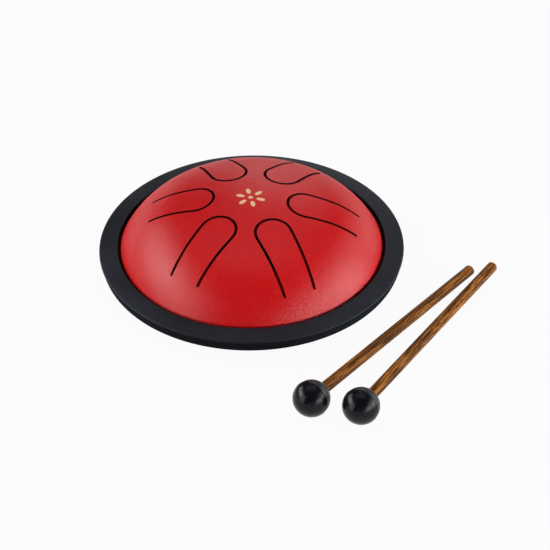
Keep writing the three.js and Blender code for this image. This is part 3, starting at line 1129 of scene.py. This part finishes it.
@dataclass
class LowerShell:
    """The shallow pan under the dome, with its sound hole."""

    axis: Vector
    floor: float = 0.004
    depth: float = 0.006
    sheet: float = 0.0012
    rim: float = 0.0793
    flange_radius: float = 0.0866
    flange_bend: float = 0.0008
    draft: float = 0.35
    bend: float = 0.004
    hole_radius: float = 0.020
    hole_lip: float = 0.0026
    steps: int = 144
    arc_steps: int = 6

    @property
    def flat_radius(self) -> float:
        """Radius where the flat floor ends."""
        drop = self.depth - self.flange_bend - self.bend
        return self.rim - (self.flange_bend + self.bend + drop * math.sin(self.draft)) / math.cos(self.draft)

    def _surface(self, depth: float) -> Profile:
        """The pan's surface from the sound hole to the flange, a given depth above its outside."""
        lip = (self.hole_radius + self.hole_lip, self.floor + self.hole_lip)
        bend = (self.flat_radius, self.floor + self.bend)
        rim = (self.rim, self.floor + self.depth - self.flange_bend)
        return [
            *arc(lip, self.hole_lip - depth, math.pi, 1.5 * math.pi, self.arc_steps),
            *arc(bend, self.bend - depth, -math.pi / 2, -self.draft, self.arc_steps),
            *arc(rim, self.flange_bend + depth, math.pi - self.draft, math.pi / 2, self.arc_steps),
        ]

    def build(self, paint: bpy.types.Material) -> None:
        """Makes and dresses the pan."""
        flange = self.floor + self.depth
        edge = [(self.flange_radius, flange), (self.flange_radius, flange + self.sheet)]
        line = [*self._surface(0.0), *edge, *self._surface(self.sheet)[::-1]]
        pan = Bench.turned("base_pan", line, self.steps, closed=True)
        Bench.smoothed(pan)
        Bench.placed(pan, Matrix.Translation(self.axis))
        hand_over(pan, "bottom_shell", "drum", Slot.PAINTED_STEEL, paint)


@dataclass
class RimRing:
    """The rubber ring that grips both flanges."""

    axis: Vector
    bottom: float
    peak: float
    radius: float = 0.090
    inside: float = 0.0794
    wall: float = 0.0032
    taper: float = 0.0014
    crown: float = 0.0014
    lean_in: float = 0.0005
    rounding: float = 0.0009
    lower_rounding: float = 0.0024
    inner_rounding: float = 0.0005
    lip: float = 0.0028
    matte_below: float = 0.3
    steps: int = 192
    arc_steps: int = 6
    lower_lip_steps: int = 4
    upper_lip_steps: int = 5

    def build(self, rubber: bpy.types.Material, matte: bpy.types.Material) -> None:
        """Makes and dresses the ring.

        Args:
            rubber: Material of the handled top.
            matte: Material of the side and the underside, as they left the mould.
        """
        top = self.peak - self.crown
        lower = (self.radius - self.taper - self.lower_rounding, self.bottom + self.lower_rounding)
        upper = (self.radius - self.rounding, top - self.rounding)
        up = Vector(upper) - Vector(lower)
        side = math.atan2(up.y, up.x) - math.acos((self.lower_rounding - self.rounding) / up.length)
        small = self.inner_rounding
        foot = (self.inside + small, self.bottom + small)
        inner = (self.inside - self.lean_in + small, self.peak - small)
        slope = math.pi / 2 - math.atan2(inner[1] - upper[1] + small - self.rounding, upper[0] - inner[0])
        channel = self.radius - self.wall
        line = [
            *arc(foot, small, math.pi, 1.5 * math.pi, self.lower_lip_steps),
            *arc(lower, self.lower_rounding, -math.pi / 2, side, self.arc_steps),
            *arc(upper, self.rounding, side, slope, self.arc_steps),
            *arc(inner, small, slope, math.pi, self.upper_lip_steps),
            (self.inside, top - self.lip),
            (channel, top - self.lip),
            (channel, self.bottom + self.lip),
            (self.inside, self.bottom + self.lip),
        ]
        ring = Bench.turned("edge_ring", line, self.steps, closed=True)
        Bench.smoothed(ring)
        Bench.placed(ring, Matrix.Translation(self.axis))
        hand_over(ring, "rim_ring", "drum", Slot.RIM_RUBBER, rubber)
        ring.data.materials.append(matte)
        for face in ring.data.polygons:
            if face.normal.z < self.matte_below:
                face.material_index = 1


@dataclass
class Feet:
    """The four push-in rubber feet."""

    axis: Vector
    circle: float
    count: int = 4
    radius: float = 0.007
    height: float = 0.004
    edge: float = 0.0012
    stem: float = 0.0026
    sheet: float = 0.0012
    plug: float = 0.0042
    plug_height: float = 0.003
    plug_tip_share: float = 0.5
    margin: float = 0.005
    steps: int = 40
    edge_steps: int = 5

    def build(self, rubber: bpy.types.Material) -> None:
        """Makes one foot and places a copy at each corner."""
        seat = self.height + self.sheet
        line = [
            (0.0, 0.0),
            *arc((self.radius - self.edge, self.edge), self.edge, -math.pi / 2, 0.0, self.edge_steps),
            (self.radius, self.height),
            (self.stem, self.height),
            (self.stem, seat),
            (self.plug, seat),
            (self.plug * self.plug_tip_share, seat + self.plug_height),
            (0.0, seat + self.plug_height),
        ]
        first = Bench.turned("rubber_foot_1", line, self.steps)
        Bench.smoothed(first)
        feet = [first]
        for number in range(2, self.count + 1):
            Bench.take(first)
            bpy.ops.object.duplicate()
            feet.append(Bench.named(f"rubber_foot_{number}"))
        for place, foot in enumerate(feet):
            turn = 2 * math.pi * (place + 0.5) / self.count
            reach = Vector((self.circle * math.cos(turn), self.circle * math.sin(turn), 0.0))
            Bench.placed(foot, Matrix.Translation(self.axis + reach))
            hand_over(foot, f"foot_{place + 1}", "drum", Slot.FOOT_RUBBER, rubber)


@dataclass
class Mallet:
    """A rubber ball on a wooden stick, lying on the floor."""

    side: Side
    head_place: Vector
    turn: float
    mark_turn: float
    head_radius: float = 0.01065
    stick_radius: float = 0.00333
    end_radius: float = 0.00312
    reach: float = 0.1553
    inside_head: float = 0.0025
    bore_clearance: float = 0.0003
    end_rounding: float = 0.0011
    seam_half_width: float = 0.00036
    seam_depth: float = 0.0008
    cap_step: float = 0.0002
    mark_lean: float = math.radians(10)
    mark_radius: float = 0.0009
    mark_height: float = 0.0003
    mouth_rounding: float = 0.0004
    edge_angle: float = 28.0
    steps: int = 128
    below_steps: int = 48
    above_steps: int = 40
    end_steps: int = 6

    @property
    def place(self) -> Matrix:
        """Where the mallet lies: its own +Z runs from the ball along the stick."""
        droop = math.asin((self.head_radius - self.end_radius) / self.reach)
        return (
            Matrix.Translation(self.head_place)
            @ Matrix.Rotation(self.turn, 4, "Z")
            @ Matrix.Rotation(math.pi / 2 + droop, 4, "Y")
        )

    def _head(self) -> bpy.types.Object:
        """The ball, with the seam of its mould round the middle and a bore for the stick."""
        bore = self.stick_radius + self.bore_clearance
        half = self.seam_half_width / self.head_radius
        mouth = math.acos((bore + self.mouth_rounding) / self.head_radius)
        below = arc((0.0, 0.0), self.head_radius, -math.pi / 2, -half, self.below_steps)
        below[0] = (0.0, -self.head_radius)
        seam = [(self.head_radius - self.seam_depth, 0.0)]
        above = arc((0.0, 0.0), self.head_radius - self.cap_step, half, mouth, self.above_steps)
        lip = above[-1][1]
        inner = [
            (bore, lip - self.mouth_rounding),
            (bore, -self.inside_head - self.bore_clearance),
            (0.0, -self.inside_head - self.bore_clearance),
        ]
        ball = Bench.turned(f"{self.side.value}_ball", [*below, *seam, *above, *inner], self.steps)
        self._mould_mark(ball)
        Bench.smoothed(ball, self.edge_angle)
        return ball

    def _mould_mark(self, ball: bpy.types.Object) -> None:
        """Raises the small pip that the mould leaves beside the seam."""
        level, drop = math.cos(self.mark_lean), math.sin(self.mark_lean)
        way = Vector((level * math.cos(self.mark_turn), level * math.sin(self.mark_turn), -drop))
        for corner in ball.data.vertices:
            away = (corner.co - way * self.head_radius).length
            if away < self.mark_radius:
                corner.co += way * self.mark_height * (1 + math.cos(math.pi * away / self.mark_radius)) / 2

    def _stick(self) -> bpy.types.Object:
        """The stick: straight in the ball, then tapering to a rounded free end."""
        end = (self.end_radius - self.end_rounding, self.reach - self.end_rounding)
        line = [
            (0.0, -self.inside_head),
            (self.stick_radius, -self.inside_head),
            (self.stick_radius, self.head_radius),
            *arc(end, self.end_rounding, 0.0, math.pi / 2, self.end_steps),
            (0.0, self.reach),
        ]
        stick = Bench.turned(f"{self.side.value}_stick", line, self.steps // 2)
        Bench.smoothed(stick)
        return stick

    def build(self, rubber: bpy.types.Material, sheen_cap: bpy.types.Material, wood: bpy.types.Material) -> None:
        """Makes and dresses the ball and the stick.

        Args:
            rubber: Material of the ball.
            sheen_cap: Material of the ball's half round the stick, painted lighter as a painted sheen.
            wood: Material of the stick.
        """
        body = f"mallet_{self.side.value}"
        head, stick = self._head(), self._stick()
        Bench.placed(head, self.place)
        Bench.placed(stick, self.place)
        hand_over(head, f"{body}_head", body, Slot.HEAD_RUBBER, rubber)
        head.data.materials.append(sheen_cap)
        to_ball = self.place.inverted()
        # painted sheen: the ball's half above the seam takes the lighter material
        for face in head.data.polygons:
            if (to_ball @ face.center).z > self.seam_half_width:
                face.material_index = 1
        hand_over(stick, f"{body}_stick", body, Slot.STICK_WOOD, wood)


@dataclass(frozen=True)
class MalletLay:
    """How one mallet lies, in degrees, and which part of the wood its stick is cut from."""

    side: Side
    turn: float
    mark_turn: float
    grain_seed: float
    grain_tilt: float


@dataclass(frozen=True)
class SoftBox:
    """A soft box: where it hangs as seen from the drum, in degrees and metres, and how bright its face is."""

    name: str
    turn: float
    lift: float
    width: float
    height: float
    glow: float
    away: float = 1.3


@dataclass
class Studio:
    """Floor, soft boxes, sky and camera."""

    axis: Vector
    drum_radius: float
    eye: tuple[float, float, float] = (0.0, -1.18426, 0.93964)
    turn: tuple[float, float, float] = (51.329, 0.5028, -1.0641)
    lens: float = 166.297
    sensor: float = 36.0
    sight: float = 50.0
    floor_size: float = 12.0
    floor_white: float = 0.95
    floor_grey: float = 0.45
    floor_roughness: float = 0.9
    # painted shadow under the drum: where it starts and ends, as shares of the drum's radius
    painted_shadow_from: float = 0.55
    painted_shadow_to: float = 0.85
    sky_white: float = 0.12
    boxes: tuple[SoftBox, ...] = (
        SoftBox("left_box", turn=180.0, lift=29.0, width=0.64, height=0.48, glow=8.2),
        SoftBox("left_back_box", turn=150.0, lift=26.0, width=0.54, height=0.48, glow=4.6),
        SoftBox("left_front_box", turn=210.0, lift=18.0, width=0.7, height=0.9, glow=3.0),
        SoftBox("right_box", turn=-6.0, lift=13.0, width=0.84, height=0.48, glow=7.4),
        SoftBox("right_front_box", turn=-44.0, lift=13.0, width=0.74, height=0.46, glow=6.0),
        SoftBox("right_low_box", turn=-66.0, lift=6.0, width=0.46, height=0.28, glow=2.2),
        SoftBox("right_high_box", turn=-10.0, lift=31.0, width=1.4, height=0.32, glow=2.4),
        SoftBox("right_back_box", turn=33.0, lift=14.0, width=0.5, height=0.46, glow=1.6),
        SoftBox("back_box", turn=80.0, lift=29.0, width=0.6, height=0.5, glow=1.2),
        SoftBox("back_low_box", turn=86.0, lift=8.0, width=0.26, height=0.46, glow=1.0),
        SoftBox("front_box", turn=-98.0, lift=10.0, width=0.8, height=0.4, glow=0.25),
        SoftBox("top_box", turn=90.0, lift=78.0, width=1.2, height=0.9, glow=0.7),
    )

    def _floor(self) -> None:
        """A white floor that keeps the object's shadow, with a painted shadow that turns it black under the
        drum.
        """
        Bench.clear()
        bpy.ops.mesh.primitive_plane_add(size=self.floor_size, location=(0.0, 0.0, 0.0))
        floor = Bench.named("floor")
        material = bpy.data.materials.new("white_floor")
        material.use_nodes = True
        n = Nodes(material.node_tree)
        shader = material.node_tree.nodes["Principled BSDF"]
        shader.inputs["Roughness"].default_value = self.floor_roughness
        shader.inputs["Specular IOR Level"].default_value = 0.0
        glow = n.add("ShaderNodeEmission")
        path = n.add("ShaderNodeLightPath")
        mirrored = n.math("MAXIMUM", path.outputs["Is Glossy Ray"], path.outputs["Is Transmission Ray"])
        seen = n.math("MAXIMUM", path.outputs["Is Camera Ray"], mirrored)
        place = n.add("ShaderNodeMapping", vector_type="TEXTURE")
        place.inputs["Location"].default_value = self.axis
        n.link(n.add("ShaderNodeTexCoord").outputs["Object"], place.inputs["Vector"])
        reach = n.add("ShaderNodeVectorMath", operation="LENGTH")
        n.link(place.outputs["Vector"], reach.inputs[0])
        start, end = self.drum_radius * self.painted_shadow_from, self.drum_radius * self.painted_shadow_to
        # the mask is 0 in the painted shadow under the drum and 1 clear of it
        clear = n.spread(reach.outputs["Value"], start, end, smooth=True)
        # painted shadow: the floor's colour goes to black under the drum
        grey = (self.floor_grey, self.floor_grey, self.floor_grey)
        n.link(n.mix(clear, (0.0, 0.0, 0.0), grey), shader.inputs["Base Color"])
        share = n.math("MULTIPLY", n.math("MULTIPLY", seen, clear), self.floor_white)
        blend = n.add("ShaderNodeMixShader")
        n.link(share, blend.inputs[0])
        n.link(shader.outputs[0], blend.inputs[1])
        n.link(glow.outputs[0], blend.inputs[2])
        n.link(blend.outputs[0], material.node_tree.nodes["Material Output"].inputs["Surface"])
        floor.data.materials.append(material)

    def _soft_box(self, box: SoftBox) -> None:
        """Hangs up a soft box that looks at the drum."""
        lamp = bpy.data.lights.new(box.name, "AREA")
        lamp.shape = "RECTANGLE"
        lamp.size, lamp.size_y = box.width, box.height
        lamp.energy = box.glow * math.pi * box.width * box.height
        hung = bpy.data.objects.new(box.name, lamp)
        turn, lift = math.radians(box.turn), math.radians(box.lift)
        flat = math.cos(lift)
        way = Vector((flat * math.cos(turn), flat * math.sin(turn), math.sin(lift)))
        hung.location = self.axis + way * box.away
        hung.rotation_euler = way.to_track_quat("Z", "Y").to_euler()
        hung.visible_camera = False
        bpy.context.scene.collection.objects.link(hung)

    def _sky(self) -> None:
        """A dim room round the soft boxes."""
        world = bpy.data.worlds.new("studio")
        bpy.context.scene.world = world
        world.use_nodes = True
        ground = world.node_tree.nodes["Background"]
        ground.inputs["Color"].default_value = (self.sky_white, self.sky_white, self.sky_white, 1.0)
        ground.inputs["Strength"].default_value = 1.0

    def _camera(self) -> None:
        """The camera where the photographer stood."""
        data = bpy.data.cameras.new("camera")
        data.lens = self.lens
        data.sensor_width = self.sensor
        data.clip_end = self.sight
        camera = bpy.data.objects.new("camera", data)
        camera.location = self.axis + Vector(self.eye)
        camera.rotation_euler = Euler([math.radians(angle) for angle in self.turn], "XYZ")
        bpy.context.scene.collection.objects.link(camera)
        bpy.context.scene.camera = camera

    def build(self) -> None:
        """Sets the studio up."""
        self._floor()
        for box in self.boxes:
            self._soft_box(box)
        self._sky()
        self._camera()
        bpy.context.scene.view_settings.view_transform = "Standard"


def middle_of(node: str) -> Vector:
    """Middle of a solid, on the floor."""
    low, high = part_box(node)
    return Vector(((low.x + high.x) / 2, (low.y + high.y) / 2, 0.0))


def main() -> None:
    """Builds the drum, the mallets and the studio in order."""
    logging.basicConfig(level=logging.INFO, format="%(name)s: %(message)s")
    effects = Effects()
    axis = middle_of("rim_ring")
    ring_low, ring_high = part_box("rim_ring")
    shape = DomeShape(axis=axis, flange_height=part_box("top_shell")[0].z + DomeShape.sheet)
    crown = axis + Vector((0.0, 0.0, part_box("top_shell")[1].z))

    def paint(name: str) -> SatinPaint:
        """Red paint under a given name."""
        return SatinPaint(
            name=name,
            colour=srgb(196, 15, 19),
            deep=srgb(184, 11, 15),
            pale=srgb(210, 48, 52),
            print_colour=srgb(226, 188, 138),
            centre=crown,
        )

    plain = paint("red_paint").build(effects, printed=False)
    cut = MouldedRubber(
        name="dark_cut_edge", colour=srgb(8, 7, 7), worn=srgb(22, 17, 16), roughness=0.7, gloss=0.1,
        grain_scale=900.0, grain_height=0.00003, wear=0.4,
    )
    printed = paint("red_paint_with_rosette").build(effects, printed=True)
    UpperShell(shape).build(printed, plain, cut.build(effects))
    pan = LowerShell(axis)
    pan.build(plain)
    rubber = MouldedRubber(
        name="charcoal_rubber", colour=srgb(19, 22, 28), worn=srgb(35, 39, 47), roughness=0.5, gloss=0.2,
        grain_scale=1100.0, grain_height=0.0001, wear=0.6,
    )
    matte = MouldedRubber(
        name="matte_charcoal_rubber", colour=srgb(20, 22, 26), worn=srgb(32, 35, 40), roughness=0.9,
        gloss=0.02, grain_scale=1100.0, grain_height=0.0001, wear=0.6,
    )
    RimRing(axis, ring_low.z, ring_high.z).build(rubber.build(effects), matte.build(effects))
    feet = MouldedRubber(
        name="foot_rubber", colour=srgb(32, 32, 34), worn=srgb(52, 52, 55), roughness=0.8, gloss=0.3,
        grain_scale=900.0, grain_height=0.00005, wear=0.3,
    )
    Feet(axis, pan.flat_radius - Feet.margin - Feet.radius).build(feet.build(effects))
    ball = MouldedRubber(
        name="ball_rubber", colour=srgb(5, 7, 12), worn=srgb(9, 13, 20), roughness=0.21, gloss=0.5,
        grain_scale=700.0, grain_height=0.00002, wear=0.25, ior=1.3,
    )
    # painted sheen: the cap half of each ball is lighter than the ball, standing for the sheen it catches
    sheen_cap = MouldedRubber(
        name="cap_rubber_painted_sheen", colour=srgb(22, 25, 30), worn=srgb(36, 40, 47), roughness=0.4, gloss=0.9,
        grain_scale=700.0, grain_height=0.00002, wear=0.25, ior=1.3,
    )
    ball_skin, sheen_cap_skin = ball.build(effects), sheen_cap.build(effects)
    lays = (
        MalletLay(Side.LEFT, turn=51.05, mark_turn=60.0, grain_seed=0.31, grain_tilt=0.02),
        MalletLay(Side.RIGHT, turn=57.245, mark_turn=180.0, grain_seed=1.77, grain_tilt=0.04),
    )
    for lay in lays:
        place = middle_of(f"mallet_{lay.side.value}_head") + Vector((0.0, 0.0, Mallet.head_radius))
        mallet = Mallet(lay.side, place, math.radians(lay.turn), math.radians(lay.mark_turn))
        wood = VarnishedWood(
            name=f"{lay.side.value}_stick_wood",
            pale=srgb(167, 103, 38),
            middle=srgb(98, 56, 17),
            dark=srgb(28, 14, 4),
            place=mallet.place,
            seed=lay.grain_seed,
            grain_tilt=lay.grain_tilt,
        )
        mallet.build(ball_skin, sheen_cap_skin, wood.build(effects))
    Studio(axis, RimRing.radius).build()


if __name__ == "__main__":
    main()
